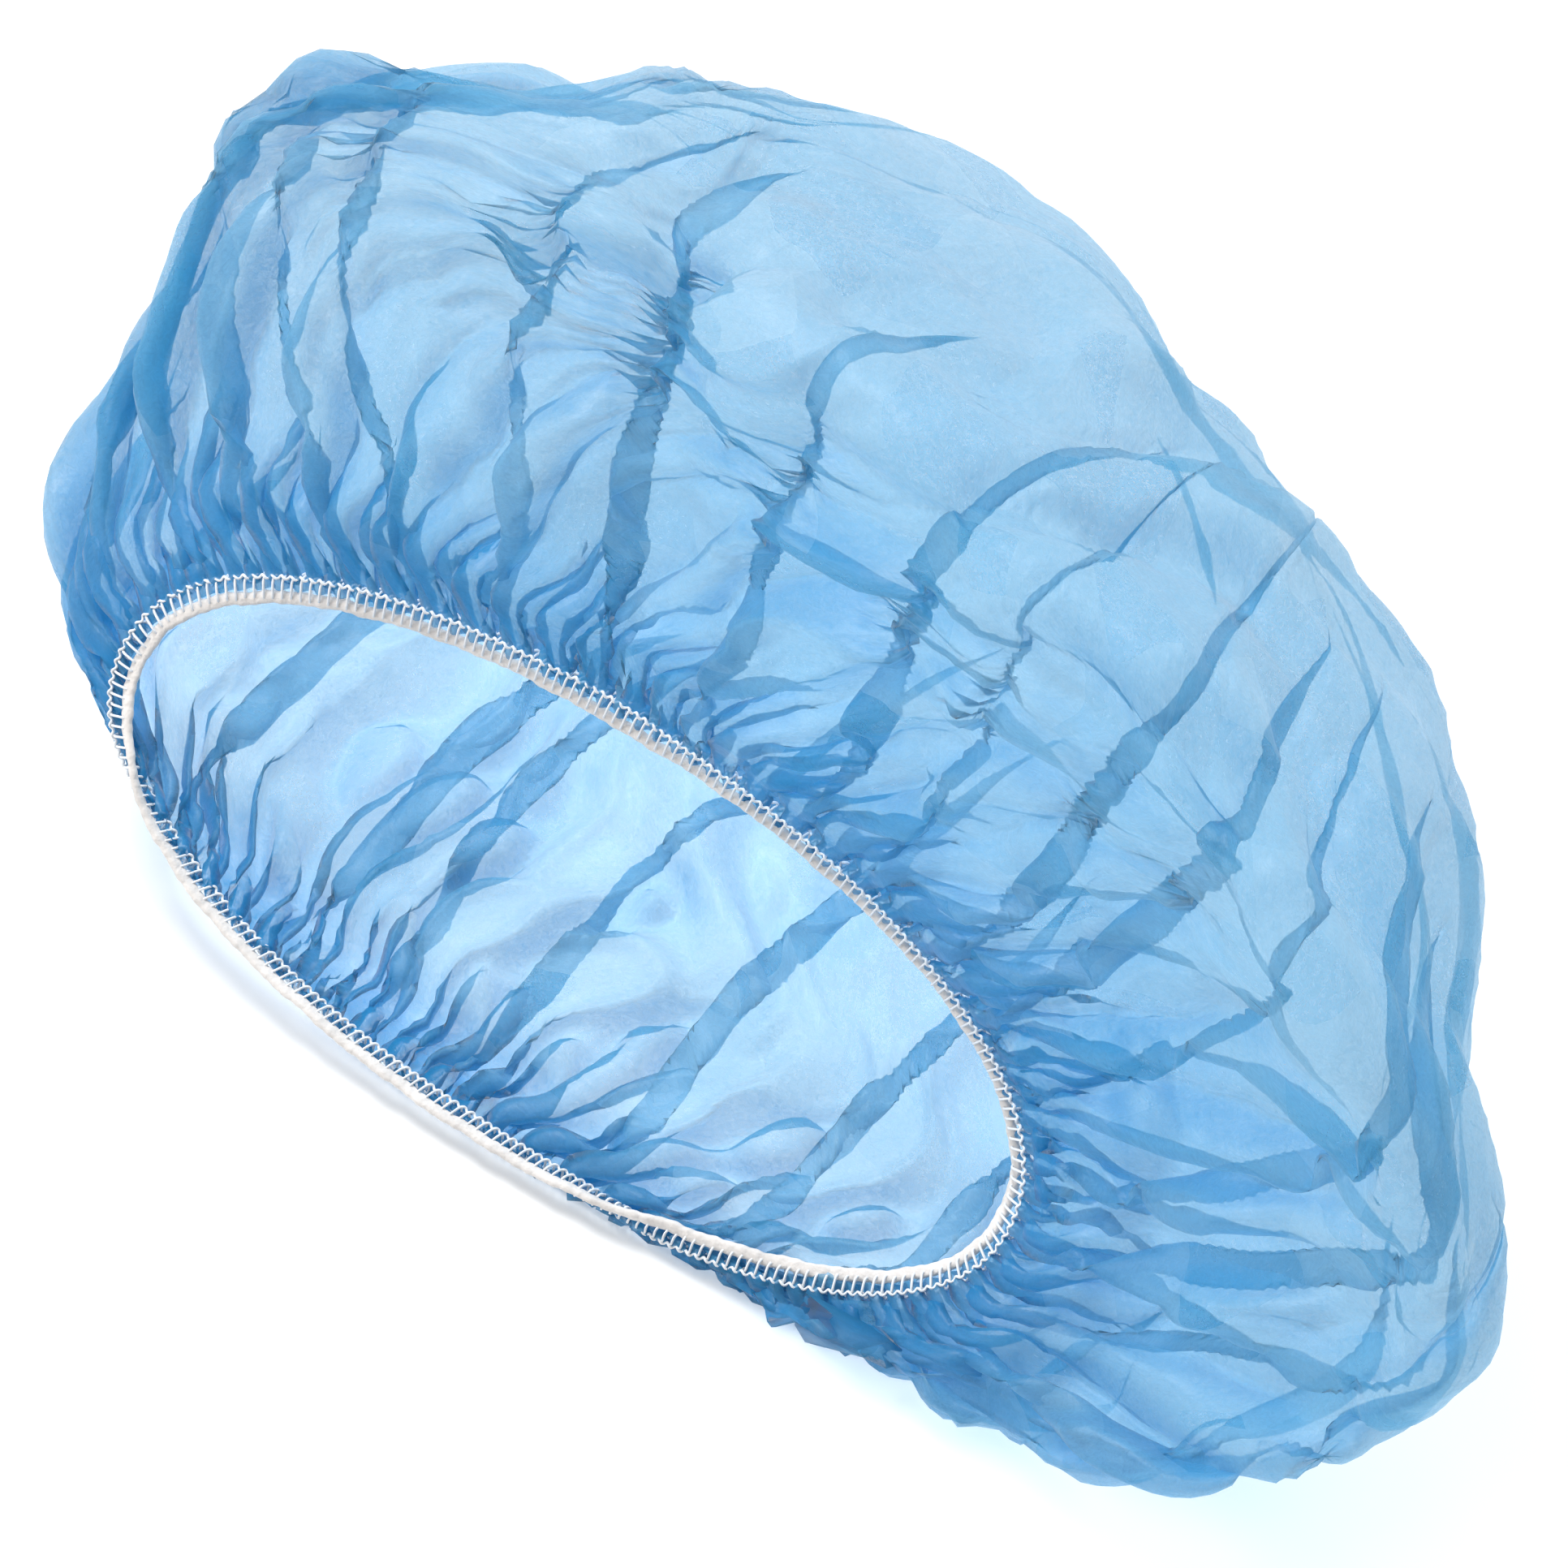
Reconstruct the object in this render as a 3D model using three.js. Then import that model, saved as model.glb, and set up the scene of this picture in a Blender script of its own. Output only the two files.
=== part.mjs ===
// Disposable bouffant cap of thin nonwoven cloth, puffed out and lying on its side.
// Units are millimetres and +Z is up. The cap rests on its lower wall, its opening faces -Y and up.
// A place on the cloth has two numbers: a turn around the hem (0 at the right end, a quarter turn at the
// middle of the upper arc, a half turn at the left end) and a reach from the hem (0) to the crown's
// middle (1). The cloth is the surface that the tilted rings of SECTIONS sweep, with the LOBES pushed
// out of it, the FOLDS and hem gathers pressed into it and its underside flattened where it lies.
import * as THREE from "three";

// Driving sizes
const BODY_LENGTH = 276; // puffed body, left to right
const BODY_DEPTH = 190; // puffed body, front to back
const BODY_HEIGHT = 120; // puffed body, floor to top
const HEM_LENGTH = 167; // relaxed hem loop, long way
const HEM_WIDTH = 69; // relaxed hem loop, short way
const WALL = 1.0; // cloth wall
const ELASTIC_WIDTH = 2.6; // elastic band, across the hem's plane
const ELASTIC_THICKNESS = 1.5; // elastic band, through the hem's plane
const HEM_GAP = 0.3; // clearance between the cloth's edge and the elastic
const GATHER_HEIGHT = 1.7; // the gathers' height above and below the cloth's mean surface
const GATHER_PITCH = 12.4; // spacing of the gathers along the hem
const FOLD_DEPTH = 10; // deepest main fold
const PUFF_HEIGHT = 2.4; // soft waves between the main folds
const FLATTENING = 3; // height over which the underside eases onto the floor

// Where along the reach each kind of relief lives
const CLEAR_REACH = 0.12; // dents stay shallow up to here, so the elastic keeps its room
const GATHER_START = 0.05; // gathers grow from the hem up to here
const GATHER_FADE = 0.09; // and die away over this reach
const PUFF_START = [0.06, 0.35]; // puffs grow between these
const PUFF_END = [0.7, 1]; // and fade between these
const FOLD_OPENING = 0.06; // a fold opens over this reach from its start
const FOLD_CLOSING = [0.12, 0.08]; // and closes from this far before its end to this far past it
const LOBE_HELD = { hem: 0.06, middle: 0.08 }; // lobes fade to nothing over these

// The gathers wander around the hem by these waves: waves around, radians, and phase
const DRIFTS = [
  { count: 3, size: 0.9, phase: 0.7 },
  { count: 7, size: 0.5, phase: 0 },
];
const GATHERS_PER_PUFF = 2.4;
const GATHER_GAIN = 1.9; // makes up for the fade, so that GATHER_HEIGHT is reached

// Fineness of the surface
const COLUMNS = 128;
const ROWS = 19;
const ROW_CROWDING = 1.45; // rows draw together towards the hem
const LAST_ROW_REACH = 0.965;
const BAND_STATIONS = 80;
const BAND_SIDES = 8;

// One row for each ring from the hem to the crown's middle: its reach, the middle's place as shares
// of the body's length and depth, its lift off the floor as a share of the height, the shares of the
// hem's and of the body's half sizes that make up its own, three turns in degrees, and how round
// its ends are (1 is an ellipse, less is fuller).
const SECTION_COLUMNS = ["reach", "x", "y", "lift", "hem", "long", "high", "yaw", "tilt", "roll", "round"];
const SECTIONS = [
  [0, 0.293, -0.018, 0.03, 1, 0, 0, -3, 41, -2, 0.94],
  [0.06, 0.302, -0.005, 0.01, 0.72, 0.225, 0.26, -6, 49, -2, 0.92],
  [0.16, 0.333, 0.05, -0.01, 0.36, 0.63, 0.63, -9, 61, 0, 0.94],
  [0.32, 0.384, 0.146, -0.06, 0, 1, 1.05, -18, 74, 0, 0.96],
  [0.5, 0.445, 0.262, -0.065, 0, 0.94, 1.06, -23, 84, 0, 0.96],
  [0.7, 0.48, 0.39, 0.02, 0, 0.72, 0.9, -28, 92, 0, 0.98],
  [0.88, 0.51, 0.505, 0.19, 0, 0.455, 0.57, -31, 96, 0, 1],
  [1, 0.53, 0.565, 0.48, 0, 0, 0, -31, 97, 0, 1],
].map((row) => Object.fromEntries(row.map((value, k) => [SECTION_COLUMNS[k], value])));

// Puffs that stand out of the swept rings: middle (degrees around, reach), spread both ways, and
// the push as shares of the body's length, depth and height.
const LOBES = [
  { at: -36, reach: 0.2, spread: 24, span: 0.14, x: -0.007, y: -0.085, z: -0.03 },
  { at: 195, reach: 0.12, spread: 26, span: 0.08, x: -0.015, y: -0.01, z: 0 },
  { at: 165, reach: 0.28, spread: 30, span: 0.1, x: -0.025, y: 0.015, z: 0.025 },
  { at: 40, reach: 0.8, spread: 38, span: 0.16, x: 0.015, y: 0.055, z: 0.02 },
];

// Main folds: each runs from one place (degrees around, reach) to another, with its breadth as a
// share of the way around and its depth as a share of FOLD_DEPTH (below zero is a ridge).
const FOLDS = [
  { at: 94, from: 0, to_at: 132, to: 0.62, breadth: 0.017, depth: 0.95 },
  { at: 88, from: 0.03, to_at: 106, to: 0.82, breadth: 0.012, depth: 0.5 },
  { at: 71, from: 0.02, to_at: 92, to: 0.86, breadth: 0.012, depth: 0.55 },
  { at: 46, from: 0.02, to_at: 70, to: 0.5, breadth: 0.011, depth: -0.4 },
  { at: 58, from: 0.1, to_at: 74, to: 0.92, breadth: 0.012, depth: 0.45 },
  { at: 36, from: 0, to_at: 61, to: 0.5, breadth: 0.013, depth: 0.6 },
  { at: 56, from: 0.5, to_at: 50, to: 0.85, breadth: 0.012, depth: 0.5 },
  { at: 14, from: 0.05, to_at: 30, to: 0.7, breadth: 0.012, depth: 0.5 },
  { at: 358, from: 0.04, to_at: 24, to: 0.52, breadth: 0.012, depth: 0.5 },
  { at: 348, from: 0.12, to_at: 2, to: 0.42, breadth: 0.012, depth: 0.45 },
  { at: 355, from: 0.04, to_at: 342, to: 0.24, breadth: 0.016, depth: 0.8 },
  { at: 318, from: 0, to_at: 321, to: 0.2, breadth: 0.014, depth: 0.45 },
  { at: 110, from: 0.03, to_at: 125, to: 0.25, breadth: 0.011, depth: 0.4 },
  { at: 123, from: 0.02, to_at: 139, to: 0.42, breadth: 0.012, depth: 0.6 },
  { at: 142, from: 0.02, to_at: 157, to: 0.6, breadth: 0.012, depth: 0.5 },
  { at: 160, from: 0, to_at: 171, to: 0.19, breadth: 0.015, depth: 0.75 },
  { at: 203, from: 0, to_at: 206, to: 0.14, breadth: 0.014, depth: 0.45 },
  { at: 241, from: 0, to_at: 258, to: 0.34, breadth: 0.013, depth: 0.5 },
  { at: 262, from: 0.1, to_at: 246, to: 0.45, breadth: 0.012, depth: 0.4 },
  { at: 284, from: 0.05, to_at: 262, to: 0.5, breadth: 0.012, depth: 0.5 },
  { at: 292, from: 0.1, to_at: 281, to: 0.5, breadth: 0.012, depth: 0.4 },
];

const TURN = 2 * Math.PI;
const degrees = THREE.MathUtils.degToRad;
const { clamp, smoothstep } = THREE.MathUtils;

// Smooth curve through the SECTIONS rows, for one column, at a reach
function sectionValue(column, reach) {
  const last = SECTIONS.length - 1;
  let i = 0;
  while (i < last - 1 && reach >= SECTIONS[i + 1].reach) i += 1;
  const slope = (k) => {
    const before = SECTIONS[Math.max(k - 1, 0)];
    const after = SECTIONS[Math.min(k + 1, last)];
    return (after[column] - before[column]) / (after.reach - before.reach);
  };
  const span = SECTIONS[i + 1].reach - SECTIONS[i].reach;
  const t = (reach - SECTIONS[i].reach) / span;
  const rise = t * t * (3 - 2 * t);
  const start = SECTIONS[i][column] * (1 - rise);
  const end = SECTIONS[i + 1][column] * rise;
  return start + end + span * slope(i) * t * (1 - t) ** 2 + span * slope(i + 1) * t * t * (t - 1);
}

// Unit vector over a level direction, raised by an angle
function directionOf(x, y, rise) {
  return new THREE.Vector3(x * Math.cos(rise), y * Math.cos(rise), Math.sin(rise));
}

// The ring's measures at a reach, read once for each row of the surface
function ringAt(reach) {
  const value = (column) => sectionValue(column, reach);
  const halfLength = (value("hem") * HEM_LENGTH + value("long") * BODY_LENGTH) / 2;
  const halfWidth = (value("hem") * HEM_WIDTH + value("high") * BODY_HEIGHT) / 2;
  const yaw = degrees(value("yaw"));
  const tilt = degrees(value("tilt"));
  const roll = degrees(value("roll"));
  const z = halfWidth * Math.sin(tilt) + value("lift") * BODY_HEIGHT;
  const forward = new THREE.Vector2(Math.cos(yaw), Math.sin(yaw));
  return {
    halfLength,
    halfWidth,
    round: value("round"),
    middle: new THREE.Vector3(value("x") * BODY_LENGTH, value("y") * BODY_DEPTH, z),
    along: directionOf(forward.x, forward.y, roll),
    across: directionOf(-forward.y, forward.x, tilt),
  };
}

function ringPoint(ring, angle) {
  const fuller = (value) => Math.sign(value) * Math.abs(value) ** ring.round;
  return ring.middle
    .clone()
    .addScaledVector(ring.along, ring.halfLength * fuller(Math.cos(angle)))
    .addScaledVector(ring.across, ring.halfWidth * fuller(Math.sin(angle)));
}

// The hem loop, measured so that equal turns are equal lengths of hem
const hemRing = ringAt(0);
const hemSteps = 720;
const hemPoints = Array.from({ length: hemSteps + 1 }, (_, k) => ringPoint(hemRing, (TURN * k) / hemSteps));
const hemLengths = [0];
for (let k = 1; k <= hemSteps; k += 1) {
  hemLengths.push(hemLengths[k - 1] + hemPoints[k].distanceTo(hemPoints[k - 1]));
}
const hemLength = hemLengths[hemSteps];
const gatherCount = Math.round(hemLength / GATHER_PITCH);
const puffCount = Math.round(gatherCount / GATHERS_PER_PUFF);

// Angle on the rings at a turn along the hem
function angleAt(turn) {
  const wanted = THREE.MathUtils.euclideanModulo(turn, 1) * hemLength;
  let k = 1;
  while (hemLengths[k] < wanted) k += 1;
  const share = (wanted - hemLengths[k - 1]) / (hemLengths[k] - hemLengths[k - 1]);
  return (TURN * (k - 1 + share)) / hemSteps;
}

// Turn along the hem at a ring angle in degrees
function turnAt(angle) {
  const place = (THREE.MathUtils.euclideanModulo(angle, 360) / 360) * hemSteps;
  const k = Math.floor(place);
  const length = hemLengths[k] + (place - k) * (hemLengths[k + 1] - hemLengths[k]);
  return length / hemLength;
}

const shortestTurn = (difference) => THREE.MathUtils.euclideanModulo(difference + 0.5, 1) - 0.5;
const bell = (value) => Math.exp(-value * value);

// Push of the lobes at a place; it fades to nothing at the hem and at the crown's middle
function lobePush(angle, reach) {
  const push = new THREE.Vector3();
  const held = clamp(reach / LOBE_HELD.hem, 0, 1) * clamp((1 - reach) / LOBE_HELD.middle, 0, 1);
  for (const lobe of LOBES) {
    const around = shortestTurn(angle / TURN - lobe.at / 360) * 360;
    const weight = held * bell(around / lobe.spread) * bell((reach - lobe.reach) / lobe.span);
    push.x += weight * lobe.x * BODY_LENGTH;
    push.y += weight * lobe.y * BODY_DEPTH;
    push.z += weight * lobe.z * BODY_HEIGHT;
  }
  return push;
}

// Height of the cloth's relief above its swept surface: gathers that die away from the hem, soft
// puffs between them and the crown's middle, and the main folds
function relief(turn, reach) {
  const drift = DRIFTS.reduce(
    (sum, wave) => sum + wave.size * Math.sin(TURN * wave.count * turn + wave.phase),
    0,
  );
  const gather = smoothstep(reach, 0, GATHER_START) * Math.exp(-reach / GATHER_FADE);
  const gatherWave = Math.cos(TURN * gatherCount * turn + drift);
  let height = GATHER_GAIN * GATHER_HEIGHT * gather * gatherWave;
  const puff = smoothstep(reach, ...PUFF_START) * (1 - smoothstep(reach, ...PUFF_END));
  height += PUFF_HEIGHT * puff * Math.cos(TURN * puffCount * turn + 2 * drift);
  for (const fold of FOLDS) {
    const share = clamp((reach - fold.from) / (fold.to - fold.from), 0, 1);
    const middle = turnAt(fold.at) + share * shortestTurn(turnAt(fold.to_at) - turnAt(fold.at));
    const across = shortestTurn(turn - middle) / fold.breadth;
    const open = smoothstep(reach, fold.from, fold.from + FOLD_OPENING);
    const fade = 1 - smoothstep(reach, fold.to - FOLD_CLOSING[0], fold.to + FOLD_CLOSING[1]);
    height -= FOLD_DEPTH * fold.depth * open * fade * bell(across);
  }
  return height < 0 ? height * smoothstep(reach, 0, CLEAR_REACH) : height;
}

// Heights below the floor are brought up to it, with an eased edge around the flat patch
function easeOntoFloor(point) {
  const z = point.z;
  if (z <= -FLATTENING) point.z = 0;
  else if (z < FLATTENING) point.z = (z + FLATTENING) ** 2 / (4 * FLATTENING);
  return point;
}

const rowReach = (row) => LAST_ROW_REACH * (row / ROWS) ** ROW_CROWDING;
const wrap = (column) => (column + COLUMNS) % COLUMNS;

// Outward normals of a grid of points that closes on itself around each row
function gridNormals(grid) {
  return grid.map((line, row) =>
    line.map((point, column) => {
      const around = line[wrap(column + 1)].clone().sub(line[wrap(column - 1)]);
      const before = grid[Math.max(row - 1, 0)][column];
      const along = grid[Math.min(row + 1, grid.length - 1)][column].clone().sub(before);
      return along.cross(around).normalize();
    }),
  );
}

function crownGrid() {
  const smooth = [];
  for (let row = 0; row <= ROWS; row += 1) {
    const reach = rowReach(row);
    const ring = ringAt(reach);
    smooth.push(
      Array.from({ length: COLUMNS }, (_, column) => {
        const angle = angleAt(column / COLUMNS);
        return ringPoint(ring, angle).add(lobePush(angle, reach));
      }),
    );
  }
  const normals = gridNormals(smooth);
  return smooth.map((line, row) =>
    line.map((point, column) => {
      const height = relief(column / COLUMNS, rowReach(row));
      return easeOntoFloor(point.clone().addScaledVector(normals[row][column], height));
    }),
  );
}

// A closed body from a list of corners and a list of triangles
function bodyOf(points, triangles) {
  const geometry = new THREE.BufferGeometry().setFromPoints(points);
  geometry.setIndex(triangles);
  geometry.computeVertexNormals();
  return geometry;
}

// The crown: the outer cloth surface, the same surface one wall further in, and the hem's cut edge
function crownGeometry() {
  const outer = crownGrid();
  const normals = gridNormals(outer);
  const inner = outer.map((line, row) =>
    line.map((point, column) => point.clone().addScaledVector(normals[row][column], -WALL)),
  );
  const middleRing = ringAt(1);
  const outerTip = middleRing.middle.clone();
  const lastNormals = normals[ROWS].reduce((sum, n) => sum.add(n), new THREE.Vector3()).normalize();
  const innerTip = outerTip.clone().addScaledVector(lastNormals, -WALL);
  const points = [...outer.flat(), ...inner.flat(), outerTip, innerTip];
  const layer = (ROWS + 1) * COLUMNS;
  const triangles = [];
  for (let column = 0; column < COLUMNS; column += 1) {
    const next = wrap(column + 1);
    for (let row = 0; row < ROWS; row += 1) {
      const a = row * COLUMNS + column;
      const b = row * COLUMNS + next;
      const c = a + COLUMNS;
      const d = b + COLUMNS;
      triangles.push(a, d, b, a, c, d);
      triangles.push(layer + a, layer + b, layer + d, layer + a, layer + d, layer + c);
    }
    const a = ROWS * COLUMNS + column;
    const b = ROWS * COLUMNS + next;
    triangles.push(a, 2 * layer, b, layer + a, layer + b, 2 * layer + 1);
    triangles.push(column, next, layer + next, column, layer + next, layer + column);
  }
  return bodyOf(points, triangles);
}

// The elastic: a flat oval section carried around the hem, clear of the cloth's inner edge
function elasticGeometry() {
  const ring = ringAt(0);
  const normal = ring.along.clone().cross(ring.across).normalize();
  const points = [];
  for (let station = 0; station < BAND_STATIONS; station += 1) {
    const turn = station / BAND_STATIONS;
    const here = easeOntoFloor(ringPoint(ring, angleAt(turn)));
    const ahead = easeOntoFloor(ringPoint(ring, angleAt(turn + 0.5 / BAND_STATIONS)));
    const behind = easeOntoFloor(ringPoint(ring, angleAt(turn - 0.5 / BAND_STATIONS)));
    const inward = normal.clone().cross(ahead.sub(behind)).normalize();
    const middle = here.addScaledVector(inward, WALL + HEM_GAP + ELASTIC_WIDTH / 2);
    for (let side = 0; side < BAND_SIDES; side += 1) {
      const angle = (TURN * (side + 0.5)) / BAND_SIDES;
      points.push(
        middle
          .clone()
          .addScaledVector(inward, (ELASTIC_WIDTH / 2) * Math.cos(angle))
          .addScaledVector(normal, (ELASTIC_THICKNESS / 2) * Math.sin(angle)),
      );
    }
  }
  const triangles = [];
  for (let station = 0; station < BAND_STATIONS; station += 1) {
    for (let side = 0; side < BAND_SIDES; side += 1) {
      const nextStation = (station + 1) % BAND_STATIONS;
      const nextSide = (side + 1) % BAND_SIDES;
      const a = station * BAND_SIDES + side;
      const b = station * BAND_SIDES + nextSide;
      const c = nextStation * BAND_SIDES + side;
      const d = nextStation * BAND_SIDES + nextSide;
      triangles.push(a, b, d, a, d, c);
    }
  }
  return bodyOf(points, triangles);
}

function crown() {
  const cloth = new THREE.MeshStandardMaterial({ color: 0x9cc8e8, roughness: 0.85, metalness: 0 });
  const mesh = new THREE.Mesh(crownGeometry(), cloth);
  mesh.name = "crown";
  return mesh;
}

function elasticBand() {
  const rubber = new THREE.MeshStandardMaterial({ color: 0xe8e0da, roughness: 0.8, metalness: 0 });
  const mesh = new THREE.Mesh(elasticGeometry(), rubber);
  mesh.name = "elastic_band";
  return mesh;
}

// The origin is under the middle of the cap, on the surface that it rests on
const cap = new THREE.Group();
cap.add(crown(), elasticBand());
const box = new THREE.Box3().setFromObject(cap, true);
const middle = box.getCenter(new THREE.Vector3());
cap.position.set(-middle.x, -middle.y, -box.min.z);

export default cap;
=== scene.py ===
import math

import bpy
import numpy as np
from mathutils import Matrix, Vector


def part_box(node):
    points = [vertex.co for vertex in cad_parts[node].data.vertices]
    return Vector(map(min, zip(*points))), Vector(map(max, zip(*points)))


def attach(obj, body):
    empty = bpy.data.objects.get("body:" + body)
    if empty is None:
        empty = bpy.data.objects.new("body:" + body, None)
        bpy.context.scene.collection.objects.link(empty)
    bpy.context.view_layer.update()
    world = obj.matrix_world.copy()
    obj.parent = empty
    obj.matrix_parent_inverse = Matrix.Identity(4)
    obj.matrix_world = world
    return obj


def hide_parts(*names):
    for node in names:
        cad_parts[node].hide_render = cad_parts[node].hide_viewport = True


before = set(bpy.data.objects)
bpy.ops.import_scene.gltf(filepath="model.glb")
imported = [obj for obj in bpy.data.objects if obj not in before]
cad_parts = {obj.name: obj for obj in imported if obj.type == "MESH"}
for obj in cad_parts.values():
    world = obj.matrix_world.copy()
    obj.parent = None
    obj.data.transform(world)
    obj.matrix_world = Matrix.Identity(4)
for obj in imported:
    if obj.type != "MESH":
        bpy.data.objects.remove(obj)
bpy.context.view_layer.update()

bl_info = {
    "name": "Disposable bouffant cap",
    "version": (1, 0, 0),
    "blender": (4, 5, 0),
    "location": "View3D > Sidebar > Bouffant cap",
    "description": "Gathered nonwoven cap with elastic and overlock stitching, lying on its side",
    "category": "Object",
}

MM = 1000.0  # millimetres in a metre
CUT = 533.0  # mm across the disc that the cloth is cut to, which the map "flat" covers once
TURN = 2.0 * math.pi
BODY = "root"

# The body that the cloth fills, one row for each ring from the hem to the crown's middle: its
# reach, its middle's place as shares of the body's length and depth, its lift off the floor as a
# share of the height, its shares of the hem's size and of the body's length and height, its yaw,
# tilt and roll in degrees, and the power that makes its ends less round.
SECTIONS = np.array([
    # reach, x, y, lift, hem, long, high, yaw, tilt, roll, round
    (0.00, 0.293, -0.018, 0.030, 1.00, 0.000, 0.00, -3, 41, -2, 0.94),
    (0.06, 0.302, -0.005, 0.010, 0.72, 0.225, 0.26, -6, 49, -2, 0.92),
    (0.16, 0.333, 0.050, -0.010, 0.36, 0.630, 0.63, -9, 61, 0, 0.94),
    (0.32, 0.384, 0.146, -0.060, 0.00, 1.000, 1.05, -18, 74, 0, 0.96),
    (0.50, 0.445, 0.262, -0.065, 0.00, 0.940, 1.06, -23, 84, 0, 0.96),
    (0.70, 0.480, 0.390, 0.020, 0.00, 0.720, 0.90, -28, 92, 0, 0.98),
    (0.88, 0.510, 0.505, 0.190, 0.00, 0.455, 0.57, -31, 96, 0, 1.0),
    (1.00, 0.530, 0.565, 0.480, 0.00, 0.000, 0.00, -31, 97, 0, 1.0),
])

# Puffs and hollows: middle (degrees around, reach), spread both ways, and the push as shares of the
# body's length, depth and height
LOBES = (
    # degrees, reach, spread, span, x, y, z
    (-36, 0.20, 24, 0.14, -0.007, -0.085, -0.03),
    (-2, 0.34, 16, 0.10, -0.012, 0.0, 0.0),
    (195, 0.12, 26, 0.08, -0.023, -0.014, 0.0),
    (303, 0.11, 18, 0.09, 0.004, 0.014, 0.0),
    (158, 0.30, 28, 0.11, -0.040, 0.012, 0.020),
    (40, 0.80, 38, 0.16, 0.018, 0.055, 0.02),
    (97, 0.62, 32, 0.22, 0.0, -0.036, -0.03),
)

# Main folds: places along each (degrees around; reach), breadth and depth in mm (above zero is a
# valley, below zero a ridge)
MAIN_FOLDS = (
    ((95, 97, 104, 109, 125, 133), (0.0, 0.08, 0.15, 0.30, 0.46, 0.64), 10.0, 6.5),
    ((46, 66, 72, 72), (0.01, 0.20, 0.45, 0.90), 9.0, -2.0),
    ((-4, -14, -17), (0.04, 0.13, 0.22), 8.0, 6.0),
    ((318, 320, 321), (0.0, 0.10, 0.22), 7.0, 4.0),
    ((159, 171, 170), (0.0, 0.08, 0.16), 8.0, 6.0),
    ((118, 126, 124), (0.12, 0.23, 0.40), 6.0, 3.5),
    ((140, 126, 113), (0.30, 0.235, 0.20), 5.0, 2.5),
)

# Laid-over pleats: places along each (degrees around; reach), its share of the cloth to take up
# against the others', and the side that it is laid towards
PLEATS = (
    ((97, 100, 105, 110, 126, 133), (0.0, 0.08, 0.15, 0.30, 0.46, 0.60), 1.8, 1),
    ((86, 92, 95, 98, 104, 107), (0.0, 0.15, 0.22, 0.32, 0.44, 0.66), 1.0, 1),
    ((70, 79, 85, 92, 93), (0.0, 0.12, 0.23, 0.51, 0.85), 1.3, 1),
    ((61, 70, 78, 84, 85), (0.0, 0.12, 0.25, 0.51, 0.85), 0.7, -1),
    ((46, 66, 72, 72), (0.0, 0.20, 0.45, 0.90), 1.2, 1),
    ((36, 44, 55, 63, 62), (0.0, 0.07, 0.18, 0.43, 0.80), 1.5, 1),
    ((22, 32, 45, 54, 54), (0.0, 0.08, 0.22, 0.46, 0.80), 0.8, -1),
    ((4, 15, 34, 44), (0.0, 0.10, 0.31, 0.75), 1.2, -1),
    ((-6, 2, 18, 34), (0.0, 0.12, 0.28, 0.70), 1.3, -1),
    ((-14, -12, -1, 14), (0.0, 0.12, 0.26, 0.60), 0.9, 1),
    ((-24, -25, -19, -4), (0.0, 0.13, 0.26, 0.60), 1.0, -1),
    ((-36, -38, -36, -26), (0.0, 0.12, 0.26, 0.60), 1.0, 1),
    ((107, 114, 119, 122, 140), (0.0, 0.12, 0.20, 0.30, 0.65), 0.8, -1),
    ((116, 126, 134, 139, 149), (0.0, 0.06, 0.14, 0.25, 0.70), 1.0, -1),
    ((127, 137, 144, 147, 156), (0.0, 0.06, 0.14, 0.26, 0.70), 0.7, 1),
    ((141, 150, 157, 163), (0.0, 0.10, 0.25, 0.70), 0.9, -1),
    ((157, 168, 171, 172), (0.0, 0.08, 0.16, 0.34), 1.4, 1),
    ((174, 182, 188, 190), (0.0, 0.10, 0.20, 0.30), 0.8, -1),
    ((190, 196, 200, 203), (0.0, 0.08, 0.16, 0.26), 1.0, 1),
    ((204, 210, 215, 216), (0.0, 0.08, 0.18, 0.32), 0.8, -1),
    ((220, 229, 232, 230), (0.0, 0.10, 0.28, 0.42), 1.0, 1),
    ((236, 247, 246, 242), (0.0, 0.08, 0.30, 0.46), 1.3, 1),
    ((250, 257, 250, 245), (0.0, 0.09, 0.34, 0.52), 1.0, -1),
    ((264, 267, 259, 252), (0.0, 0.08, 0.38, 0.70), 0.9, 1),
    ((277, 279, 270, 262), (0.0, 0.10, 0.36, 0.70), 1.2, 1),
    ((290, 290, 281, 274), (0.0, 0.12, 0.36, 0.66), 1.0, -1),
    ((303, 300, 293, 288), (0.0, 0.14, 0.30, 0.46), 1.0, 1),
    ((315, 313, 308, 304), (0.0, 0.12, 0.26, 0.42), 1.0, -1),
)
LAP_BREADTH = 0.45  # of the lap, over which a pleat turns over
LAP_LIFT = 0.17  # of the lap, between its layers
LAP_DENT = 0.50  # of the lap, by which the cloth dips at a pleat
LAP_SLIDE = 1.35  # of the lap, by which a pleat slides back over itself
LAP_REACH = 0.75  # of the lap, within which it slides back
DENT_REACH = 1.6  # of the lap, within which the cloth dips
MOST_LAP = 11.0  # mm, the widest lap
LAP_START = (0.03, 0.16)  # shares of the way from the hem over which the pleats take up cloth
PANEL_EASE = 0.03  # surplus cloth that the panels between the pleats keep
LEAST_GATHERED = 1.03  # cloth's length over the body's, where the cloth lies smoothest
MOST_GATHERED = 3.5  # the same, where the gathers are tightest

HEM_GATHERS = 118  # gathers around the hem
LAST_FADE = (0.160, 0.380)  # shares of the way from the hem over which the last gathers end
FOLD_SHARE = 0.50  # of the surplus cloth that the last gathers keep from the pleats
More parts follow.
